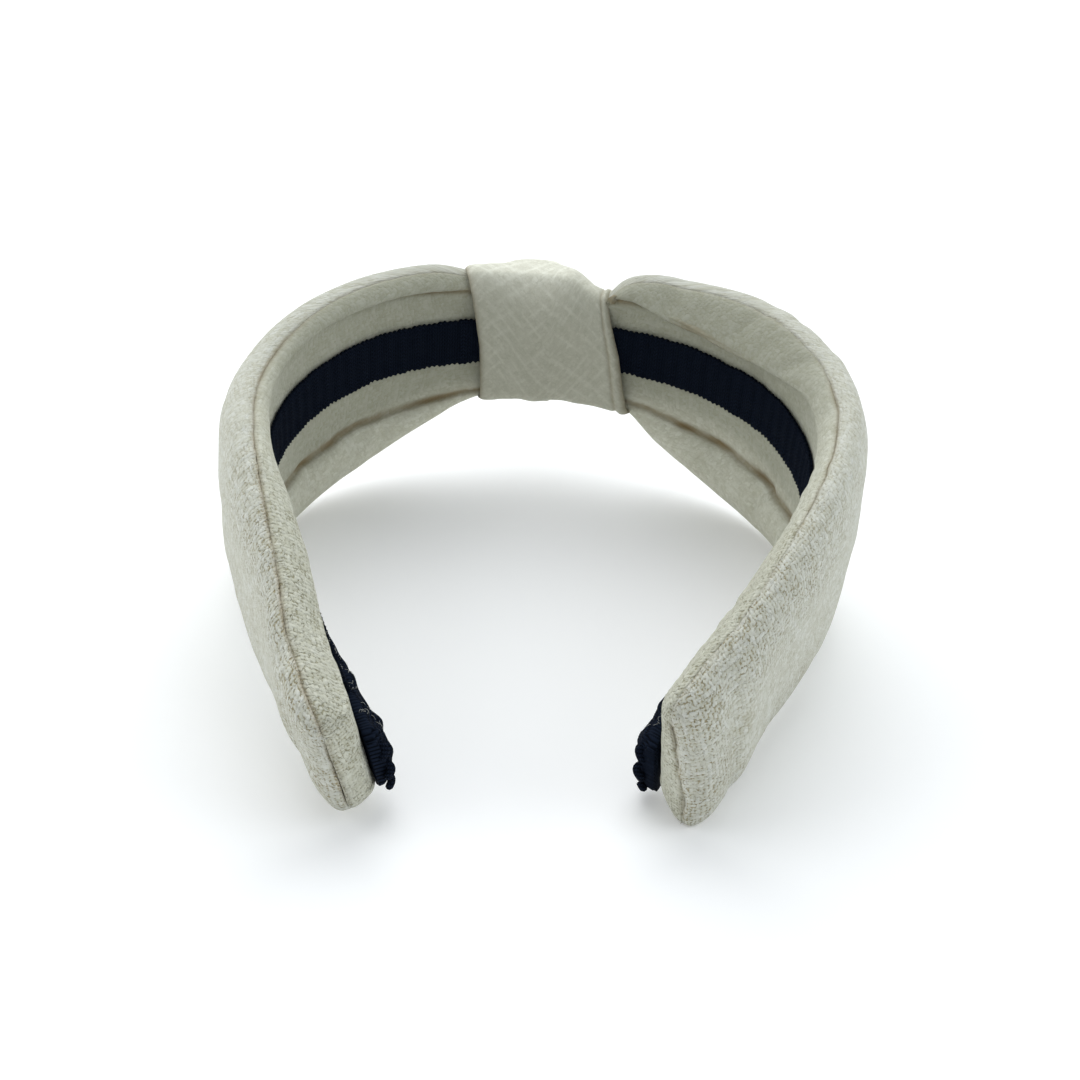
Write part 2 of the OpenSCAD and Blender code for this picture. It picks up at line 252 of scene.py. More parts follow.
def add_object(name, data):
    thing = bpy.data.objects.new(name, data)
    bpy.context.collection.objects.link(thing)
    return thing


def make_camera():
    az, el, roll = (math.radians(a) for a in (CAMERA_AZIMUTH, CAMERA_ELEVATION, CAMERA_ROLL))
    back = np.array([math.sin(az) * math.cos(el), -math.cos(az) * math.cos(el), math.sin(el)])
    right = np.array([math.cos(az), math.sin(az), 0])
    up = np.cross(back, right)
    right, up = right * math.cos(roll) + up * math.sin(roll), up * math.cos(roll) - right * math.sin(roll)
    data = bpy.data.cameras.new("camera")
    data.lens, data.sensor_width = CAMERA_LENS, 36
    data.shift_x, data.shift_y = CAMERA_SHIFT
    data.clip_start, data.clip_end = 0.01, 20
    camera = add_object("camera", data)
    columns = [TURN @ right, TURN @ up, TURN @ back, to_row(back * CAMERA_DISTANCE)]
    camera.matrix_world = Matrix([*np.stack(columns, 1).tolist(), (0, 0, 0, 1)])
    bpy.context.scene.camera = camera


def area_light(name, place_at, aim, size, power, tint):
    data = bpy.data.lights.new(name, "AREA")
    data.shape, data.size, data.energy, data.color = "DISK", size, power, tint
    lamp = add_object(name, data)
    lamp.location = place_at
    lamp.rotation_mode = "QUATERNION"
    lamp.rotation_quaternion = (Vector(aim) - Vector(place_at)).to_track_quat("-Z", "Y")


def set_inputs(node, values):
    for name, value in values.items():
        node.inputs[name].default_value = value


def make_stage():
    bpy.context.scene.view_settings.view_transform = "Standard"
    world = bpy.data.worlds.new("studio")
    world.use_nodes = True
    set_inputs(world.node_tree.nodes["Background"], {"Color": WORLD_TINT, "Strength": WORLD_STRENGTH})
    bpy.context.scene.world = world
    for light in LIGHTS:
        area_light(*light)
    mesh = bpy.data.meshes.new("floor")
    corners = [(x * FLOOR_HALF, y * FLOOR_HALF, 0) for x, y in ((-1, -1), (1, -1), (1, 1), (-1, 1))]
    mesh.from_pydata(corners, [], [(0, 1, 2, 3)])
    floor = add_object("floor", mesh)
    floor.location.z = FLOOR_Z
    material = bpy.data.materials.new("pale_floor")
    material.use_nodes = True
    set_inputs(material.node_tree.nodes["Principled BSDF"], {
        "Base Color": (0.95, 0.95, 0.95, 1), "Roughness": 0.9,
        "Emission Color": (1, 1, 1, 1), "Emission Strength": FLOOR_GLOW})
    mesh.materials.append(material)


# ------ shapes

def noise(seed, u, v, size):
    """Smooth noise between -1 and 1 over the plane, with lumps of about the given size."""
    table = np.random.default_rng(seed).uniform(-1, 1, (61, 67))
    x, y = np.asarray(u, float) / size, np.asarray(v, float) / size
    i, j = np.floor(x).astype(int), np.floor(y).astype(int)
    fx, fy = x - i, y - j
    fx, fy = fx * fx * (3 - 2 * fx), fy * fy * (3 - 2 * fy)
    at = lambda a, b: table[(i + a) % 61, (j + b) % 67]
    return ((at(0, 0) * (1 - fx) + at(1, 0) * fx) * (1 - fy) + (at(0, 1) * (1 - fx) + at(1, 1) * fx) * fy)


def tip(half, s):
    """Rounding of the tip, from 1 down to nothing at the very end; blunter than a circle."""
    u = np.clip((s - HALF[half] + TIP_ROUND) / TIP_ROUND, 0, 1)
    return (1 - u ** 2.8) ** 0.4


# Intervals of the outer half of an outline
STEPS = 160


def length_run(n, z):
    """Length run so far along each outline."""
    return np.concatenate([0 * n[:, :1], np.cumsum(np.hypot(np.diff(n, axis=1), np.diff(z, axis=1)), 1)], 1)


def outline(half, s):
    """Closed outlines of the padded band at stations s, from the upper crest round the outside: n, z and the
    length run so far, [stations, points]."""
    s = np.asarray(s, float)[:, None]
    end = tip(half, s)
    hi = curve(TOP[half], s) - TIP_CORNER[0] * (1 - end)
    lo = -curve(LOW[half], s) + TIP_CORNER[1] * (1 - end)
    pad = curve(PAD[half], s) * end
    crease = np.minimum(curve(CREASE, s), np.minimum(hi, -lo) - 0.8)
    a = np.linspace(PI / 2, -PI / 2, STEPS + 1)[None]
    square = SQUARE - TIP_SQUARE[half] * smooth_step(s, 150, 180)
    seam_top = SEAM_N + curve(SEAM_OUT[half], s)
    seam_low = seam_top + curve(SEAM_LEAN[half], s)
    up = (1 + power(np.sin(a), square)) / 2
    out = power(np.maximum(np.cos(a), 0), square)
    outer_n = seam_low + (seam_top - seam_low) * up + (pad + 0.5 * end) * out
    outer_z = lo + (hi - lo) * up
    t = np.linspace(0, 1, STEPS // 2 + 1)[None]
    face = curve(FACE[half], s)

    def roll(seam, edge, bend, swell, sag):
        return (seam - (seam + face) * end * t - swell * end * np.sin(PI * t),
                edge + (bend - edge) * (1 - np.cos(PI * t)) / 2 - sag * np.sin(PI * t) ** 2)

    low_n, low_z = roll(seam_low, lo, -crease, curve(SWELL_LOW[half], s), 0)
    top_n, top_z = roll(seam_top, hi, crease, curve(SWELL_TOP[half], s), curve(SAG[half], s))
    flat = t[:, 1:-1]
    flat_n = low_n[:, -1:] + (top_n[:, -1:] - low_n[:, -1:]) * flat
    n = np.concatenate([outer_n, low_n[:, 1:], flat_n, top_n[:, ::-1]], 1)
    z = np.concatenate([outer_z, low_z[:, 1:], -crease + 2 * crease * flat, top_z[:, ::-1]], 1)
    return n, z, length_run(n, z)


def resample(at, run, *values):
    """Values given at the lengths run of each outline, at other lengths."""
    return [np.stack([np.interp(*row) for row in zip(at, run, value)]) for value in values]


def net_of(half, rows, around):
    """Coarse closed net over the padded part of a half: its stations, n, z and points."""
    s = np.linspace(FIRST_STATION, HALF[half] - TIP_ROUND, rows)
    n, z, run = outline(half, s)
    n, z = resample(np.arange(around) / around * run[:, -1:], run, n, z)
    return s, n, z, place(half, s[:, None], n, z)


# The cloth simulation: the net's rows and points around, its scale to the band, its frames, the furthest a
# point may move in mm, how many rows either way even out the general swelling, and Blender's settings
SIM_NET = (86, 60)
SIM_SCALE = 1 / 20
SIM_FRAMES = 14
SIM_LIMIT = 2.2
SIM_EVEN = 8
SIM_SETTINGS = {
    "quality": 6, "mass": 0.3, "air_damping": 2, "tension_stiffness": 12, "compression_stiffness": 12,
    "shear_stiffness": 4, "bending_stiffness": 0.4, "vertex_group_mass": "held", "shrink_min": -0.055,
    "use_pressure": True, "uniform_pressure_force": 2.5,
}


def simulate(half):
    """Cloth simulation of a half's padded tube, held at the knot, along the hard band and at the tip: the
    net's stations, and how far its points move, in mm."""
    rows, around = SIM_NET
    s, n, z, p = net_of(half, rows, around)
    mesh = bpy.data.meshes.new("net")
    faces = quads(rows, around, loop=True)[:, ::half]
    mesh.from_pydata((p.reshape(-1, 3) * SIM_SCALE).tolist(), [], faces.tolist())
    net = add_object("net", mesh)
    hold = np.zeros((rows, around))
    hold[s < 15] = 1
    hold[-3:] = 1
    hold[(n < SEAM_N - 1) & (np.abs(z) < curve(CREASE, s)[:, None] - 0.5)] = 1
    group = net.vertex_groups.new(name="held")
    group.add(np.flatnonzero(hold.ravel() > 0.5).tolist(), 1.0, "REPLACE")
    cloth = net.modifiers.new("cloth", "CLOTH")
    for setting, value in SIM_SETTINGS.items():
        setattr(cloth.settings, setting, value)
    cloth.settings.effector_weights.gravity = 0
    cloth.point_cache.frame_start, cloth.point_cache.frame_end = 1, SIM_FRAMES
    scene = bpy.context.scene
    for frame_number in range(1, SIM_FRAMES + 1):
        scene.frame_set(frame_number)
    swollen = net.evaluated_get(bpy.context.evaluated_depsgraph_get())
    after = np.array([v.co for v in swollen.to_mesh().vertices]) / SIM_SCALE
    swollen.to_mesh_clear()
    bpy.data.objects.remove(net)
    scene.frame_set(1)
    move = after.reshape(rows, around, 3) - p
    size = np.linalg.norm(move, axis=-1, keepdims=True)
    move *= np.minimum(1, SIM_LIMIT / np.maximum(size, 1e-6))
    longer = np.pad(move, ((SIM_EVEN, SIM_EVEN), (0, 0), (0, 0)), mode="edge")
    even = np.mean([longer[k:k + rows] for k in range(2 * SIM_EVEN + 1)], axis=0)
    return s, move - even


def spread(net_s, move, s, share):
    """Smooth values of a net's moves at stations s and shares of the way round, by cubic B-splines."""
    rows, around, _ = move.shape

    def weights(t):
        return ((1 - t) ** 3 / 6, (3 * t ** 3 - 6 * t ** 2 + 4) / 6,
                (-3 * t ** 3 + 3 * t ** 2 + 3 * t + 1) / 6, t ** 3 / 6)

    row = np.interp(s, net_s, np.arange(rows))
    col = (share % 1) * around
    i, j = np.floor(row).astype(int), np.floor(col).astype(int)
    total = np.zeros((*share.shape, 3))
    for a, wa in enumerate(weights(row - i)):
        for b, wb in enumerate(weights(col - j)):
            total += (wa * wb)[..., None] * move[np.clip(i + a - 1, 0, rows - 1), (j + b - 1) % around]
    return total


# One panel's grid, [stations, columns]: n, z, girth from the panel's middle, distances from the upper and the
# lower seam, the creases and the underside of the upper roll, and share of the way round the outline
Panel = namedtuple("Panel", "n z girth from_top from_low from_crease under share")
FAR = 99.0


def panel_grid(half, s, columns, lining):
    """The grid of one panel between its seams. The girth runs from the upper seam round to the lower one on
    the cover, and from the lower seam back up on the lining."""
    n, z, run = outline(half, s)
    whole, low_crest = run[:, -1], run[:, STEPS]
    inward = curve(SEAM_IN, s)
    start, stop = (low_crest + inward, whole - inward) if lining else (-inward, low_crest + inward)
    v = start[:, None] + (stop - start)[:, None] * np.linspace(0, 1, columns)[None]
    n, z = resample(v % whole[:, None], run, n, z)
    end = tip(half, s)[:, None]
    seam = SEAM_N + curve(SEAM_OUT[half], s)[:, None]
    bed = seam - (seam + curve(FACE[half], s)[:, None]) * end
    bend = curve(CREASE, s)[:, None]
    from_top, from_low = v - start[:, None], stop[:, None] - v
    from_crease, under = np.full_like(v, FAR), np.full_like(v, FAR)
    if lining:
        from_top, from_low = from_low, from_top
        from_crease = np.hypot(n - bed, np.abs(z) - bend)
        crease_at = np.argmin(np.where(z > 0, from_crease, FAR), axis=1)
        roll = np.where(np.arange(columns)[None] > crease_at[:, None], z, FAR)
        lowest = roll.min(1, keepdims=True)
        under = roll - lowest + 4 * (1 - smooth_step(bend - lowest, 0.3, 2.5))
    girth = v - (start + stop)[:, None] / 2
    return Panel(n, z, girth, from_top, from_low, from_crease, under, v / whole[:, None])


def unit(v):
    return v / np.maximum(np.linalg.norm(v, axis=-1, keepdims=True), 1e-9)


def grid_normals(p):
    return unit(np.cross(np.gradient(p, axis=0), np.gradient(p, axis=1)))


def mesh_piece(name, points, faces, coords):
    """A smooth piece from points in the band's plane, with its cloth's coordinates and its stains and painted
    shade.
    """
    mesh = bpy.data.meshes.new(name)
    mesh.from_pydata(to_row(points).tolist(), [], [list(map(int, f)) for f in faces])
    mesh.polygons.foreach_set("use_smooth", [True] * len(mesh.polygons))
    weave = mesh.attributes.new("weave", "FLOAT_VECTOR", "POINT")
    weave.data.foreach_set("vector", np.asarray(coords, np.float32).ravel())
    mesh.update()
    return add_object(name, mesh)


def quads(rows, columns, loop=False):
    """Faces of a grid of points, each quad counter-clockwise when rows run right and columns run up."""
    i, j = np.meshgrid(np.arange(rows - 1), np.arange(columns if loop else columns - 1), indexing="ij")
    j2 = (j + 1) % columns
    return np.stack([i * columns + j, (i + 1) * columns + j, (i + 1) * columns + j2, i * columns + j2],
                    -1).reshape(-1, 4)


def solid_faces(rows, columns, turned=False):
    """Faces of a closed solid skinned over rows of closed loops, or those faces turned over."""
    first, last = list(range(columns)), [(rows - 1) * columns + j for j in range(columns)]
    faces = [list(f) for f in quads(rows, columns, loop=True)] + [first, last[::-1]]
    return [f[::-1] for f in faces] if turned else faces


def flat_coords(u, v):
    """Coordinates in the cloth's plane, without stain or painted shade."""
    return np.stack(np.broadcast_arrays(u, v, 0.0), -1)


def shell(name, points, coords, thickness, flip=False):
    """Closed shell of a grid of points [rows, columns, 3] that face outwards along rows x columns."""
    rows, columns, _ = points.shape
    count = rows * columns
    turn = -1 if flip else 1
    face = quads(rows, columns)[:, ::turn]
    rim = np.concatenate([
        np.arange(columns), np.arange(1, rows) * columns + columns - 1,
        (rows - 1) * columns + np.arange(columns - 2, -1, -1), np.arange(rows - 2, 0, -1) * columns])
    after = np.roll(rim, -1)
    sides = np.stack([rim, after, after + count, rim + count], -1)[:, ::turn]
    inside = points - grid_normals(points) * turn * thickness
    both = np.concatenate([points.reshape(-1, 3), inside.reshape(-1, 3)])
    faces = np.concatenate([face, face[:, ::-1] + count, sides])
    return mesh_piece(name, both, faces, np.concatenate([coords.reshape(-1, 3)] * 2))


# ------ materials

class Number:
    """A number worked out in a material's nodes."""

    def __init__(self, tree, socket):
        self.tree, self.socket = tree, socket

    def calc(self, operation, *others):
        node = self.tree.nodes.new("ShaderNodeMath")
        node.operation = operation
        for slot_in, value in zip(node.inputs, (self, *others)):
            plug(self.tree, slot_in, value)
        return Number(self.tree, node.outputs[0])

    def __add__(self, other):
        return self.calc("ADD", other)

    def __sub__(self, other):
        return self.calc("SUBTRACT", other)

    def __mul__(self, other):
        return self.calc("MULTIPLY", other)

    def sin(self):
        return self.calc("SINE")

    def floor(self):
        return self.calc("FLOOR")

    def ramp(self, lo, hi, out_lo=0.0, out_hi=1.0):
        """Smooth rise from out_lo to out_hi as the number goes from lo to hi."""
        node = self.tree.nodes.new("ShaderNodeMapRange")
        node.interpolation_type = "SMOOTHSTEP"
        for slot_in, value in zip(node.inputs, (self, lo, hi, out_lo, out_hi)):
            plug(self.tree, slot_in, value)
        return Number(self.tree, node.outputs[0])


def plug(tree, socket, value):
    if isinstance(value, Number):
        tree.links.new(value.socket, socket)
    else:
        socket.default_value = value


def pack_vector(tree, x, y):
    node = tree.nodes.new("ShaderNodeCombineXYZ")
    plug(tree, node.inputs[0], x)
    plug(tree, node.inputs[1], y)
    return node.outputs[0]


def noise_node(tree, vector, scale, detail=2.0):
    node = tree.nodes.new("ShaderNodeTexNoise")
    set_inputs(node, {"Scale": scale, "Detail": detail})
    tree.links.new(vector, node.inputs["Vector"])
    return Number(tree, node.outputs["Fac"])


def noise_at(tree, x, y, detail=1.0):
    return noise_node(tree, pack_vector(tree, x, y), 1.0, detail)


def mix_color(tree, amount, first, second):
    node = tree.nodes.new("ShaderNodeMix")
    node.data_type = "RGBA"
    plug(tree, node.inputs[0], amount)
    for socket, value in ((node.inputs[6], first), (node.inputs[7], second)):
        if isinstance(value, tuple):
            socket.default_value = (*value, 1)
        else:
            tree.links.new(value, socket)
    return node.outputs[2]


def new_material(name, roughness, sheen=0.0, specular=0.3):
    """A material, its tree and shader, its coordinates and its stains and painted shade, and the coordinates
    as a vector.
    """
    material = bpy.data.materials.new(name)
    material.use_nodes = True
    tree = material.node_tree
    shader = tree.nodes["Principled BSDF"]
    set_inputs(shader, {"Roughness": roughness, "Sheen Weight": sheen, "Sheen Roughness": 0.5,
                        "Specular IOR Level": specular})
    coords = tree.nodes.new("ShaderNodeAttribute")
    coords.attribute_name = "weave"
    split = tree.nodes.new("ShaderNodeSeparateXYZ")
    tree.links.new(coords.outputs["Vector"], split.inputs[0])
    u, v, stain_and_shade = (Number(tree, split.outputs[axis]) for axis in "XYZ")
    return material, tree, shader, (u, v, stain_and_shade), pack_vector(tree, u, v)


def bump(tree, shader, height, distance):
    node = tree.nodes.new("ShaderNodeBump")
    node.inputs["Distance"].default_value = distance
    plug(tree, node.inputs["Height"], height)
    tree.links.new(node.outputs[0], shader.inputs["Normal"])


def thread_set(tree, u, v, pitch, cross_pitch, phase, seed, slubs):
    """Threads that run along v, side by side along u, passing over and under those across them: the height of
    the cloth where such a thread runs, and the shade of the thread."""
    a = u * (1 / pitch)
    index = a.floor()
    off = (a - index - 0.5) * 2
    slub = noise_at(tree, index * 0.77 + seed, v * 0.1)
    fat = slub.ramp(0.5, 0.66)
    round_top = (off * off * (fat * -0.5 + 1.0)) * -1.0 + 1.0
    float_phase = noise_at(tree, index * 1.31 + seed, v * 0.3) * 1.6
    over = ((v * (1 / cross_pitch) + index + phase + float_phase) * PI).sin() * 0.5 + 0.5
    height = round_top * (over * 0.6 + 0.32) * (fat * 0.35 + 0.8)
    shade = noise_at(tree, index * 3.17 + seed, v * 0.45, 2.0)
    return height, shade + fat * slubs


COS_45 = 0.7071
# Average distance between the heavier threads, and the tint of the painted shade
LINE_GAP = 2.7
SHADE = (0.1, 0.105, 0.055)


def slub_lines(tree, a, b, seed):
    """Heavier threads a few millimetres apart along a, of a strength that changes along b."""
    at = a * (1 / LINE_GAP) + (noise_at(tree, a * 0.13 + seed, seed) - 0.5) * 0.9
    index = at.floor()
    off = (at - index - 0.5).calc("ABSOLUTE")
    strength = noise_at(tree, index * 2.37 + seed, b * 0.13).ramp(0.38, 0.62)
    return off.ramp(0.0, 0.26, 1.0, 0.0) * strength


def woven_material(name, colours, pitch=(0.95, 0.88), bias=False, relief=0.0003, slubs=0.12, uneven=0.7,
                   lines=0.0, wander=1.4, least=0.0, shade_at=None):
    """Plain weave of uneven threads. The colours are those of light and dull threads, gaps, and the creases'
    stains and painted shade. It is open near the tips and closes towards the knot, down to `least`. Painted
    shade darkens it, by shade_at's last number, between its two girths and before its station."""
    light, dull, gap, brown = colours
    material, tree, shader, (u, v, stain_and_shade), vector = new_material(name, 0.85, sheen=0.1, specular=0.15)

    def wavy(x, slow, fast):
        waver = noise_node(tree, vector, slow, 2.0) - 0.5
        jitter = noise_node(tree, vector, fast, 1.0) - 0.5
        return x + waver * wander + jitter * 0.5

    uu, vv = wavy(u, 0.16, 0.9), wavy(v, 0.21, 1.07)
    if bias:
        uu, vv = (uu + vv) * COS_45, (vv - uu) * COS_45
    warp, warp_shade = thread_set(tree, uu, vv, pitch[0], pitch[1], 0.0, 3.0, slubs)
    weft, weft_shade = thread_set(tree, vv, uu, pitch[1], pitch[0], 1.0, 51.0, slubs)
    height = warp.calc("MAXIMUM", weft)
    fibre = noise_node(tree, vector, 3.6, 3.0)
    broken = noise_node(tree, vector, 0.8, 1.0).ramp(0.44, 0.56)
    curl = (noise_node(tree, vector, 1.0, 1.5) - 0.5).calc("ABSOLUTE").ramp(0.0, 0.05, 1.0, 0.0) * broken
    height = height + (fibre - 0.5) * 0.35 - curl * 0.45
    warp_on_top = (warp - weft).ramp(-0.05, 0.05)
    shade = (warp_shade * warp_on_top) + (weft_shade * (warp_on_top * -1.0 + 1.0)) - 0.5 + (fibre - 0.5) * 0.5
    shade = shade * uneven + 0.5
    if lines:
        shade = shade + (slub_lines(tree, uu, vv, 7.0) + slub_lines(tree, vv, uu, 23.0)) * lines
    body = mix_color(tree, shade.ramp(0.34, 0.7), dull, light)
    blotch = noise_node(tree, vector, 0.12, 2.0)
    near_tip = u.ramp(78, 150)
    open_weave = near_tip * v.calc("ABSOLUTE").ramp(4, 17, 0.35, 1.0).calc("MAXIMUM", u.ramp(150, 172))
    open_weave = open_weave.calc("MAXIMUM", least)
    depth = (height + (blotch - 0.5) * 0.5).ramp(0.05, 0.4)
    colour = mix_color(tree, (depth * -1.0 + 1.0) * (open_weave * 0.85 + 0.15), body, gap)
    # Painted shade: between shade_at's girths and before its stations the cloth is darkened towards SHADE
    if shade_at:
        start, stop, until, strength = shade_at
        inside = v.ramp(*start) * v.ramp(*stop, 1.0, 0.0) * u.ramp(*until, 1.0, 0.0)
        colour = mix_color(tree, inside * strength, colour, SHADE)
    colour = mix_color(tree, stain_and_shade * 0.85, colour, brown)
    tree.links.new(colour, shader.inputs["Base Color"])
    bump(tree, shader, height * (open_weave * 0.7 + 0.3), relief)
    return material


def thread_material(name, light, dark):
    """Twisted thread with a little fuzz."""
    material, tree, shader, (u, v, _), vector = new_material(name, 0.6, sheen=0.2)
    ply = ((u + v * 2.2) * (2 * PI / 0.7)).sin() * 0.5 + 0.5
    fuzz = noise_node(tree, vector, 3.0, 3.0)
    colour = mix_color(tree, (ply * 0.7 + fuzz * 0.4).ramp(0.2, 0.9), dark, light)
    tree.links.new(colour, shader.inputs["Base Color"])
    bump(tree, shader, ply + fuzz * 0.5, 0.0001)
    return material


def knit_material(name, light, dark):
    """Fine warp knit: slanted loops in columns along the ribbon."""
    material, tree, shader, (u, v, _), vector = new_material(name, 0.8, specular=0.03)
    column = (v * (1 / RIB) * PI).sin().calc("ABSOLUTE")
    loop = ((u * (1 / COURSE) + column * 0.7) * (2 * PI)).sin() * 0.5 + 0.5
    fuzz = noise_node(tree, vector, 3.0, 3.0)
    height = loop * 0.5 + column * 0.6 + (fuzz - 0.5) * 0.3
    colour = mix_color(tree, (height + (fuzz - 0.5) * 0.4).ramp(0.2, 1.0), dark, light)
    lint = noise_node(tree, vector, 0.9, 4.0).ramp(0.7, 0.78)
    tree.links.new(mix_color(tree, lint * 0.25, colour, (0.1, 0.11, 0.13)), shader.inputs["Base Color"])
    bump(tree, shader, height, 0.00022)
    return material


def plastic_material(name):
    """Matt pale plastic with a fine moulded grain."""
    material, tree, shader, _, vector = new_material(name, 0.55, specular=0.4)
    grain = noise_node(tree, vector, 1.5, 3.0)
    colour = mix_color(tree, grain, (0.58, 0.58, 0.55), (0.68, 0.68, 0.66))
    tree.links.new(colour, shader.inputs["Base Color"])
    bump(tree, shader, grain, 0.00002)
    return material


# ------ pieces

# The first station of a panel, and the distance between stations
FIRST_STATION = 0.4
PITCH = 0.8
# Length, spacing and radius of the stitches
STITCH, STITCH_GAP, STITCH_RADIUS = 2.0, 1.4, 0.17
# From here on the upper seam shows clearly
SEAM_CLEAR = {-1: 58, 1: 72}
# Cross wrinkles on the left cover: station, depth, width
WRINKLES = ((119, 0.3, 0.7), (122.5, 0.4, 0.9), (126, 0.3, 0.8), (154, 0.25, 0.9))


def stations_of(half):
    """Stations of a panel's rows: evenly spaced, then closer together where the tip rounds off."""
    straight_end = HALF[half] - TIP_ROUND
    straight = np.linspace(FIRST_STATION, straight_end, int((straight_end - FIRST_STATION) / PITCH))
    bend = straight_end + TIP_ROUND * np.sin(np.linspace(0, PI / 2, 15)[1:])
    return np.concatenate([straight, bend])


def crest_calm(grid):
    """Share of the lumps and folds that is left near the edge seams."""
    return 0.4 + 0.6 * smooth_step(np.minimum(grid.from_top, grid.from_low), 3, 14)


def wrinkles(s, v, seed):
    """Depth of the few cross wrinkles of the left cover."""
    total = 0
    for station, depth, width in WRINKLES:
        at = station + 0.08 * v + 1.2 * noise(seed + 40, v, station, 6)
        uneven = 0.55 + 0.45 * noise(seed + 41, v, station, 5)
        total = total + depth * hill(s - at, width) * uneven
    return total


def relief(half, s, grid, from_end, lining):
    """How far the cloth stands out of its smooth shape, in mm, and how much it darkens: a stain along the
    seams, and on the lining a brownish crease line that is partly painted shade and a painted shadow under
    the upper roll.
    Both sides of a seam share its puckers, and the lumps and pleats end there, so the two panels stay joined."""
    seed = PANEL_SEED + half + (4 if lining else 0)
    v = grid.girth
    s = s * np.ones_like(v)
    side = np.minimum(grid.from_top, grid.from_low)
    d = np.minimum(side, from_end)
    at_end = from_end < side
    on_arm = smooth_step(s, 70, 110)

    # The seams: a groove between two soft shoulders, faint on the crown's top and at the right tip
    upper = grid.from_top < np.minimum(grid.from_low, from_end)
    clear = 0.25 + 0.75 * smooth_step(s, SEAM_CLEAR[half], SEAM_CLEAR[half] + 22)
    fade = np.where(upper, clear, 1) * np.where(upper & (half > 0), 1 - 0.75 * smooth_step(s, 118, 140), 1)
    groove = np.where(at_end, -0.35, -0.45 * fade) * hill(d, 0.7)
    shoulder = 0.12 * fade * hill(d - 2.2, 1.5)
    beside = np.maximum(d - 0.4, 0)
    pucker = noise(PANEL_SEED + half, s, np.where(grid.from_top < grid.from_low, 0, 50), 3.6)
    end_pucker = 0.35 * noise(seed + 5, v, 0, 2.6)
    puckers = np.where(at_end, end_pucker * np.exp(-beside / 2.5),
                       (0.05 + 0.25 * on_arm) * pucker * np.exp(-beside / 2.8))

    # The cloth between them: lumps of the padding, and pleats that fan out from the knot
    lumps = 0.25 * noise(seed + 10, s, v, 9) + (0.02 + 0.12 * on_arm) * noise(seed + 11, s, v, 3.6)
    fan = v / (0.55 + 0.022 * np.maximum(s - 10, 0))
    pleats = 0.8 * noise(seed + 20, fan, s * 0.12, 6.5) + 0.3 * noise(seed + 21, fan, s * 0.2, 3)
    pleats = np.exp(-np.maximum(s - 17, 0) / 10) * pleats * (0.2 if lining else 1.0)
    rise = groove + shoulder + puckers + (lumps * crest_calm(grid) + pleats) * (1 - hill(d, 2.5))
    if half < 0 and not lining:
        rise = rise - wrinkles(s, v, seed)

    patchy = 0.75 + 0.35 * noise(seed + 30, s, v * 0.2, 5)
    # The seams carry a darker stain; the painted shade comes in below, on the lining
    stain_and_shade = 0.8 * np.where(at_end, 0.7, fade) * hill(d, 0.5) * patchy
    corner = (1 - smooth_step(from_end, 0.3, 2)) * (1 - smooth_step(side, 0.3, 2))
    rise, stain_and_shade = rise * (1 - corner), stain_and_shade * (1 - corner)
    if lining:
        wings = 1 - smooth_step(s, 105, 150)
        rise = rise - 0.7 * wings * hill(grid.from_crease, 0.8)
        clear = wings * (1 - 0.7 * smooth_step(s, 32, 54) * (grid.z > 0))
        # Along the creases a brownish line, partly the cloth's own mark and partly painted shade of the fold
        stain_and_shade = np.maximum(stain_and_shade, 1.25 * clear * patchy * hill(grid.from_crease, 0.9))
        # Painted shadow on the band under the overhanging upper roll
        stain_and_shade = np.maximum(stain_and_shade, 0.65 * clear * hill(grid.under, 1.3))
        flat = np.abs(grid.z) < curve(CREASE, s)
        rise = np.where(flat, rise * 0.45 - 0.2 * wings * hill(grid.from_crease, 0.8), rise)
    return rise, stain_and_shade


def panel(half, lining, folds):
    """The cover or the lining of one half, as its grid of points and its cloth's flat coordinates."""
    s = stations_of(half)
    columns = 96 if lining else 84
    grid = panel_grid(half, s, columns, lining)
    p = place(half, s[:, None], grid.n, grid.z)
    if folds is not None:
        straight_end = HALF[half] - TIP_ROUND
        fade = 1 - smooth_step(s, straight_end - 4, straight_end)
        moves = spread(*folds, s[:, None] + 0 * grid.share, grid.share)
        p = p + moves * (fade[:, None] * crest_calm(grid))[..., None]
    steps = np.linalg.norm(np.diff(p, axis=0), axis=-1)
    from_end = np.concatenate([np.cumsum(steps[::-1], 0)[::-1], np.zeros((1, columns))])
    rise, stain_and_shade = relief(half, s[:, None], grid, from_end, lining)
    p = p + grid_normals(p) * half * rise[..., None]
    return p, np.stack([HALF[half] - from_end, grid.girth, stain_and_shade], -1)


def dress(piece, material, slot, half, *nodes):
    """Gives a piece its material, bakes its transform into its mesh and hides the nodes it stands for. The
    slot is not used.
    """
    piece.data.materials.append(material)
    start, end = (to_row(place(half, s, 0, 0)) for s in (BLEND_FROM, BLEND_TO))
    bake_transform(piece)
    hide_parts(*nodes)


def attach(piece, material, slot, body, *nodes):
    """Gives a piece its material, hangs it on a single body and hides the nodes it stands for. The slot is
    not used.
    """
    piece.data.materials.append(material)
    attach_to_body(piece, body)
    if nodes:
        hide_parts(*nodes)


def arm_nodes(half, *names):
    return [f"{name}_{SIDE_NAME[half]}_arm" for name in names] + [f"{name}_crown" for name in names]


def make_panels(half, cover_cloth, lining_cloth):
    """The cover and the lining of one half; gives back the cover's grid of points."""
    folds = simulate(half)
    grids = []
    kinds = (("cover", cover_cloth, "foam_pad"), ("lining", lining_cloth, "inner_wadding"))
    for kind, cloth, padding in kinds:
        p, coords = panel(half, kind == "lining", folds)
        piece = shell(f"{kind}_{SIDE_NAME[half]}", p, coords, CLOTH, flip=half < 0)
        dress(piece, cloth, "woven_" + kind, half, *arm_nodes(half, kind + "_panel", padding))
        grids.append(p)
    return grids[0]


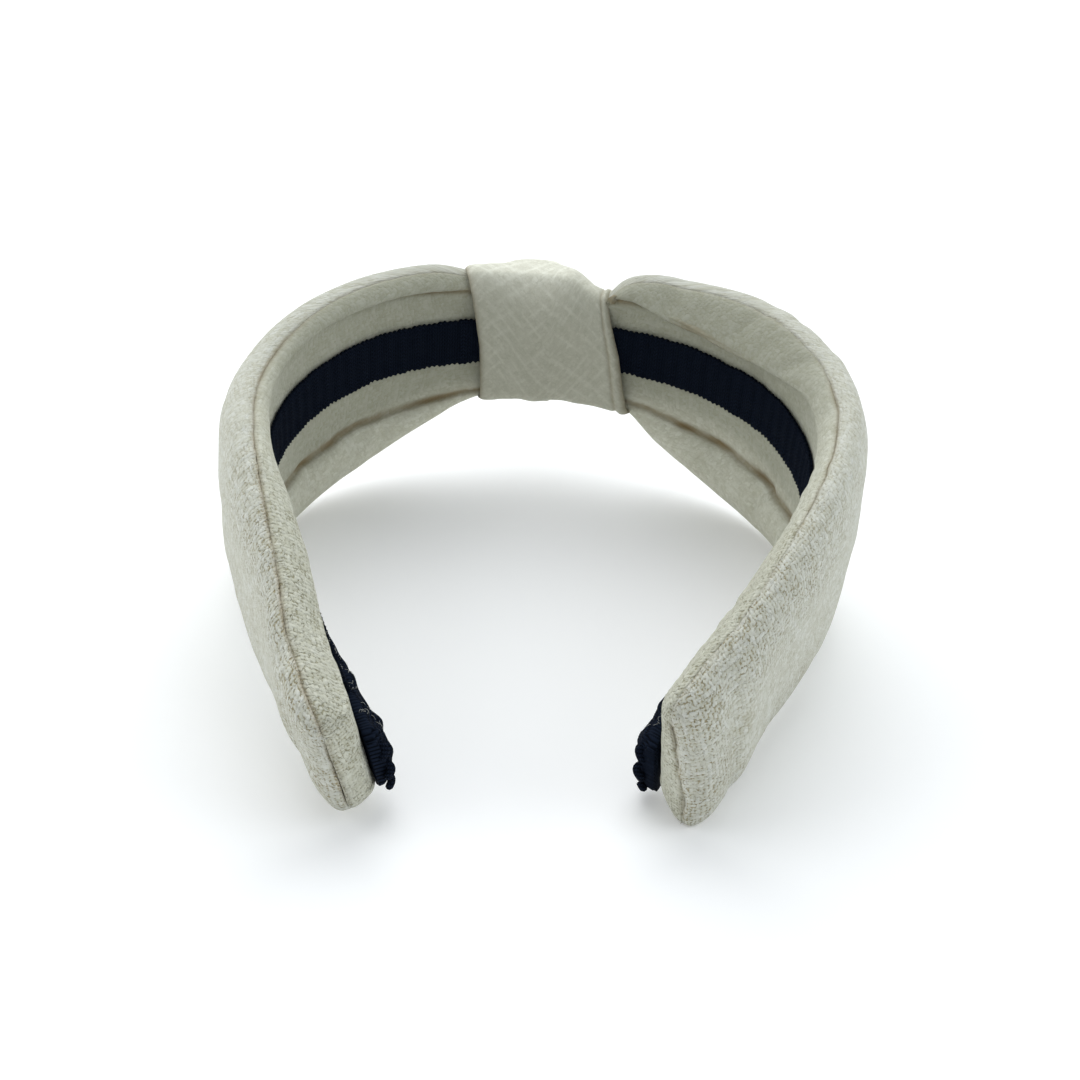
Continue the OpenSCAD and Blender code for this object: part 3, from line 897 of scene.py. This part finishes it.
def ring_strip(name, half, s, section):
    """Solid strip skinned over sections [stations, points, (n, z)]."""
    rows, columns = section.shape[:2]
    p = place(half, s[:, None], section[..., 0], section[..., 1])
    around = np.cumsum(np.linalg.norm(np.diff(p, axis=1, prepend=p[:, :1]), axis=-1), 1)
    faces = solid_faces(rows, columns, half < 0)
    return mesh_piece(name, p.reshape(-1, 3), faces, flat_coords(s[:, None], around))


def rounded_slab(n_mid, z_mid, half_n, half_z, count=24, squareness=0.35):
    """Outline points of a flat bar with rounded edges, clockwise seen along the station."""
    a = np.linspace(0, 2 * PI, count, endpoint=False)
    return np.stack([n_mid + half_n * power(np.sin(a), squareness),
                     z_mid + half_z * power(np.cos(a), squareness)], -1)


def make_core(half, material):
    """The flat plastic band inside the padding."""
    s = np.arange(0.3, HALF[half] - 5.9, 2.0)
    width = np.minimum(curve(CREASE, s) - 0.6, curve(TOP[half], s) - 2)
    section = np.stack([rounded_slab(1.0, 0, 0.9, w) for w in width])
    piece = ring_strip("spring_core_" + SIDE_NAME[half], half, s, section)
    dress(piece, material, "spring_core", half, *arm_nodes(half, "spring_core"))


def make_ribbon(half, material):
    """The knitted ribbon along the lining, ribbed on the side that shows, with scalloped edges."""
    s = np.arange(0.3, HALF[half] - 12.5, 0.3)
    face = curve(FACE[half], s)
    scallops = 0.5 * np.abs(np.sin(PI * s / SCALLOP)) + 0.2 * noise(RIBBON_SEED + 6 + half, s, 0, 1.7)
    half_width = RIBBON_W / 2 - 0.3 + scallops
    section = np.array([rounded_slab(0, 0, RIBBON_T / 2, w, 40, 0.5) for w in half_width])
    rib = 0.096 * np.cos(2 * PI * section[..., 1] / RIB)
    course = 0.09 * np.cos(2 * PI * s / COURSE)[:, None]
    section[..., 0] -= np.where(section[..., 0] < 0, rib + course, 0)
    section[..., 0] += (-face - RIBBON_GAP - RIBBON_T / 2)[:, None]
    section[..., 1] += RIBBON_Z + 0.25 * noise(RIBBON_SEED + half, s, 0, 9)[:, None]
    piece = ring_strip("ribbon_" + SIDE_NAME[half], half, s, section)
    dress(piece, material, "navy_knit", half, *arm_nodes(half, "grip_ribbon"))


def tube(points, radius, sides=8):
    """Points and faces of a closed tube along points, with a radius at each."""
    points = np.asarray(points, float)
    radius = np.broadcast_to(radius, len(points))
    along = unit(np.gradient(points, axis=0))
    out = np.cross(along[0], (0.3, 0.2, 1.0))
    rings = []
    for i, d in enumerate(along):
        out = unit(out - d * np.dot(out, d))
        side = np.cross(d, out)
        a = np.linspace(0, 2 * PI, sides, endpoint=False)
        rings.append(points[i] + radius[i] * (np.cos(a)[:, None] * out + np.sin(a)[:, None] * side))
    return np.concatenate(rings), solid_faces(len(points), sides, True)


def joined(parts):
    """One list of points and one of faces from several."""
    points, faces, base = [], [], 0
    for p, f in parts:
        points.append(p)
        faces += [[j + base for j in face] for face in f]
        base += len(p)
    return np.concatenate(points), faces


def stitches(line, inward, deep=0.0):
    """Short sunken stitches along a line of points; inward holds unit vectors into the padding, and deep how
    much further each point lies in."""
    run = np.concatenate([[0], np.cumsum(np.linalg.norm(np.diff(line, axis=0), axis=1))])
    q = np.linspace(0, 1, 6)
    dip = 0.15 + 0.3 * np.abs(2 * q - 1) ** 2
    parts = []
    deep = np.broadcast_to(deep, run.shape)
    for start in np.arange(1, run[-1] - STITCH - 1, STITCH + STITCH_GAP):
        at = start + STITCH * q
        middle = np.stack([np.interp(at, run, line[:, k]) for k in range(3)], -1)
        sink = np.stack([np.interp(at, run, inward[:, k]) for k in range(3)], -1)
        depth = dip + np.interp(at, run, deep)
        thickness = STITCH_RADIUS * (0.55 + 0.45 * np.sin(PI * q) ** 0.5)
        parts.append(tube(middle + sink * depth[:, None], thickness, 6))
    points, faces = joined(parts)
    return points, faces, flat_coords(points[:, 0], points[:, 1] + points[:, 2])


def make_seams(half, cover, material):
    """Stitches along the upper and the lower seam and down the end of the tip."""
    side = SIDE_NAME[half]
    middle = cover.mean(1)
    for edge, column in (("top", 0), ("bottom", -1)):
        line = cover[:-14, column]
        inward = unit(middle[:-14] - line)
        deep = 0.3 * (1 - smooth_step(stations_of(half)[:-14], 58, 80)) * (edge == "top")
        piece = mesh_piece(f"seam_{edge}_{side}", *stitches(line, inward, deep))
        dress(piece, material, "seam_thread", half, *arm_nodes(half, "seam_thread_" + edge))
    line = cover[-1, 9:-12]
    inward = unit(np.broadcast_to(cover[-12].mean(0) - cover[-1].mean(0), line.shape))
    piece = mesh_piece("end_seam_stitches_" + side, *stitches(line, inward))
    attach(piece, material, "seam_thread", side + "_arm", f"end_seam_{side}_arm")


def make_fold(half, material):
    """The gathered end of the ribbon at a tip: a wad of folds that ends in corded loops."""
    side = SIDE_NAME[half]
    end = HALF[half]
    rows = np.linspace(end - FOLD_LENGTH[half], end - 2.2, 110)
    u = ((rows - rows[0]) / (rows[-1] - rows[0]))[:, None]
    a = np.linspace(0, PI, 61)[None]
    growth = smooth_step(u, FOLD_FROM[half], 0.75) * (1 - 0.5 * smooth_step(u, 0.86, 1))
    thick = 1.4 + FOLD_DEPTH[half] * growth
    reach = 6.0 + 1.8 * smooth_step(u, 0.2, 0.8) - 2.0 * smooth_step(u, 0.9, 1)
    middle = RIBBON_Z - FOLD_DROP[half] * smooth_step(u, 0.15, 0.9)
    across = reach * np.cos(a)
    seed = FOLD_SEED + half
    curls = 0.2 * noise(seed, across + 60, u * 20, 3.0)
    curls += 0.13 * noise(seed + 3, across * 0.4 + 60, u * 20, 1.3)
    ropes = 0.1 * np.abs(np.sin(PI * (u * 9 + 0.12 * across))) * smooth_step(u, 0.4, 0.7)
    n = -curve(FACE[half], rows)[:, None] - RIBBON_GAP - thick * np.sin(a) ** 0.55 * (1 + curls - ropes)
    p = place(half, rows[:, None], n, across + middle)
    coords = flat_coords(rows[:, None], across).reshape(-1, 3)
    parts = [(p.reshape(-1, 3), solid_faces(*across.shape, half > 0))]
    q = np.linspace(0, 1, 22)
    for i, (back, z, size, out) in enumerate(FOLD_LOOPS):
        turn = 2 * PI * q * 0.86 + i
        loop = place(half, end - back + size * np.cos(turn) * 0.8,
                     -float(curve(FACE[half], end)) - out * FOLD_DEPTH[half] / 3 - 0.5 * np.sin(turn * 2),
                     z + 6.5 - FOLD_DROP[half] + size * np.sin(turn))
        parts.append(tube(loop, 0.85 - 0.15 * np.abs(2 * q - 1), 8))
    points, faces = joined(parts)
    x, y, z = points[len(coords):].T
    coords = np.concatenate([coords, flat_coords(x * 1.3, y + z)])
    piece = mesh_piece("ribbon_fold_" + side, points, faces, coords)
    attach(piece, material, "navy_knit", side + "_arm", f"ribbon_end_fold_{side}_arm")
    return p


def make_lint(half, wad, material):
    """Pale fibres caught on the folded ribbon and along its border with the lining."""
    rows, columns, _ = wad.shape
    normal = grid_normals(wad)
    normal *= np.sign(np.sum(normal * (wad - wad.mean((0, 1))), axis=-1, keepdims=True))
    random = np.random.default_rng(LINT_SEED + half)
    q = np.linspace(0, 1, 8)
    parts = []
    for i in range(LINT_COUNT):
        row = random.uniform(0.08, 0.8) * rows
        column = random.uniform(0.03, 0.1 if i % 2 else 0.55) * columns
        turn = random.uniform(0, 2 * PI) + random.uniform(-2.5, 2.5) * q
        size = random.uniform(0.6, 1.8)
        r = np.clip(row + np.cumsum(np.cos(turn)) * size / 2, 0, rows - 1.01)
        c = np.clip(column + np.cumsum(np.sin(turn)) * size / 2, 0, columns - 1.01)
        i0, j0 = r.astype(int), c.astype(int)
        fr, fc = (r - i0)[:, None], (c - j0)[:, None]
        on_wad = ((wad[i0, j0] * (1 - fr) + wad[i0 + 1, j0] * fr) * (1 - fc)
                  + (wad[i0, j0 + 1] * (1 - fr) + wad[i0 + 1, j0 + 1] * fr) * fc)
        lift = 0.02 + random.uniform(0.05, 0.35) * np.sin(PI * q)
        parts.append(tube(on_wad + normal[i0[0], j0[0]] * lift[:, None], LINT_RADIUS, 5))
    points, faces = joined(parts)
    piece = mesh_piece("lint_" + SIDE_NAME[half], points, faces, 0 * points)
    attach(piece, material, "seam_thread", SIDE_NAME[half] + "_arm")


def wrap_loop(s, grow):
    """Loops round the knot at signed stations s, grown outwards from the wrap's bed: n, z and the length run
    so far, from the middle of the outer side by the lower edge, the inner side and the upper edge."""
    s = np.asarray(s, float)[:, None]
    w = (s - WRAP_FROM) / (WRAP_TO - WRAP_FROM)
    edge = np.abs(s)
    pad = curve(PAD[1], edge)
    hump = np.sin(PI * np.clip(w, 0, 1) ** 0.75) ** 2
    top = np.where(s < 0, curve(TOP[-1], edge), 16 - 4 * smooth_step(edge, 2, 15)) + 0.4 + grow + 0.2 * hump
    lift = np.where(s < 0, 1.1 * smooth_step(edge, 2, 16), 0.8 * w)
    low = np.where(s < 0, curve(LOW[-1], edge), curve(LOW[1], edge)) - 0.9 - lift + 0.4 + grow
    out = SEAM_N + 1 + pad + grow + WRAP_PUFF * hump
    into = 3.4 + grow
    a = np.linspace(0, 2 * PI, 400)[None]
    z = -power(np.sin(a), SQUARE)
    inner_power = np.where(z > 0, 1.05, SQUARE / 2)
    n = np.where(np.cos(a) > 0, out * power(np.cos(a), SQUARE), into * power(np.cos(a), inner_power))
    z = z * np.where(z > 0, top, low)
    return n, z, length_run(n, z)


def make_wrap(material):
    """The band of cloth round the knot, with a folded hem on its right edge."""
    turns, across = 240, 64
    q = np.linspace(0, 1, across)
    bulge = 0.08 * np.sin(2 * PI * q) / (2 * PI)
    s = WRAP_FROM + (WRAP_TO - WRAP_FROM) * (q - bulge)
    at = np.linspace(0, 1, turns, endpoint=False)
    layers = []
    for grow in WRAP_SKINS:
        n, z, run = wrap_loop(s, grow)
        girth = at * run[:, -1:]
        n, z = resample(girth, run, n, z)
        lean = z / 16
        toward_edge = np.abs(2 * q[:, None] - 1)
        edge_lean, edge_hook = (np.where(q[:, None] > 0.5, *pair) for pair in (EDGE_LEAN, EDGE_HOOK))
        station = s[:, None] - edge_lean * lean * toward_edge
        station -= np.maximum(lean, 0) * toward_edge ** 2 * edge_hook
        layers.append(place(1, station, n, z))
    p, inner = layers
    across_mm = (s - WRAP_FROM)[:, None] + 0 * girth
    normal = unit(np.cross(np.gradient(p, axis=0), np.roll(p, -1, 1) - np.roll(p, 1, 1)))
    outside = 0.5 + 0.5 * np.cos(2 * PI * at) + 0 * girth
    from_right = across_mm[-1:] - across_mm
    rim = np.minimum(across_mm, from_right)
    rise = -0.9 * np.exp(-rim / 0.5)
    rise += -0.45 * hill(from_right - HEM, 0.4) + 0.2 * hill(from_right - 1.3, 0.8)
    rise += 0.35 * noise(WRAP_SEED, girth, across_mm, 7) * (0.3 + 0.7 * outside)
    rise += 0.9 * noise(WRAP_SEED + 1, girth * 0.15, across_mm, 3.4) * outside
    from_join = np.minimum(girth, run[:, -1:] - girth)
    rise += -0.5 * hill(from_join, 0.6) + 0.25 * hill(girth - 2, 1.2)
    # Darker in the crease colour at the hem's fold, along both edges and at the join, where the cloth dips in
    stain_and_shade = 0.5 * hill(from_right - HEM, 0.35) + 0.6 * np.exp(-rim / 0.5) + 0.4 * hill(from_join, 0.5)
    p = p + normal * rise[..., None]
    coords = np.stack([across_mm, girth, stain_and_shade], -1)
    count = turns * across
    face = quads(across, turns, loop=True)
    rims = []
    for row, turn in ((0, 1), (across - 1, -1)):
        j = row * turns + np.arange(turns)
        j2 = row * turns + (np.arange(turns) + 1) % turns
        rims.append(np.stack([j, j2, j2 + count, j + count], -1)[:, ::turn])
    faces = np.concatenate([face, face[:, ::-1] + count, *rims])
    points = np.concatenate([p.reshape(-1, 3), inner.reshape(-1, 3)])
    piece = mesh_piece("knot_wrap_cloth", points, faces, np.concatenate([coords.reshape(-1, 3)] * 2))
    attach(piece, material, "woven_wrap", "crown", "knot_wrap", "knot_filling")


# Colours of the light and the dull threads, the gaps between them, and the darkening at seams and creases,
# which is partly stain and partly painted shade
CREAM = ((0.67, 0.675, 0.605), (0.53, 0.525, 0.425), (0.33, 0.285, 0.165), (0.38, 0.29, 0.16))
# The lining's colours are the cover's cream made darker and yellower as painted shade for the band's inside,
# with a darker crease colour
SHADED_LINING_CREAM = ((0.645, 0.645, 0.545), (0.515, 0.51, 0.4), (0.33, 0.31, 0.205), (0.24, 0.18, 0.09))
# Painted light: the wrap's light and dull colours are raised so that, beside the painted shade on its inner
# side, its top and outside look lit
WRAP_CREAM = ((0.86, 0.855, 0.74), (0.625, 0.615, 0.505), (0.46, 0.445, 0.34), (0.25, 0.19, 0.1))
# Painted shade: girths between which the cloth gets darker and lighter again, stations where that ends, and
# how much darker; on the lining above its lower panel towards the knot, on the wrap on its inner side
LINING_SHADE = ((-16, -9), (90, 99), (60, 110), 0.38)
WRAP_SHADE = ((6, 22), (47, 61), (90, 99), 0.39)

make_camera()
make_stage()
cover_cloth = woven_material("cream_tweed", CREAM, least=0.22)
lining_cloth = woven_material("cream_tweed_lining", SHADED_LINING_CREAM, shade_at=LINING_SHADE)
wrap_cloth = woven_material("cream_bias_tweed", WRAP_CREAM, pitch=(0.8, 0.75), bias=True, relief=0.00016,
                            slubs=0.0, uneven=0.35, lines=0.09, wander=0.5, shade_at=WRAP_SHADE)
stitch_thread = thread_material("stitching_thread", (0.46, 0.4, 0.29), (0.26, 0.21, 0.13))
navy = knit_material("navy_knit", (0.009, 0.014, 0.027), (0.0015, 0.0025, 0.005))
core_plastic = plastic_material("matt_plastic")
lint = thread_material("lint", (0.5, 0.5, 0.46), (0.4, 0.4, 0.36))

for half in (-1, 1):
    cover = make_panels(half, cover_cloth, lining_cloth)
    make_core(half, core_plastic)
    make_ribbon(half, navy)
    make_lint(half, make_fold(half, navy), lint)
    make_seams(half, cover, stitch_thread)
make_wrap(wrap_cloth)

bpy.context.view_layer.update()
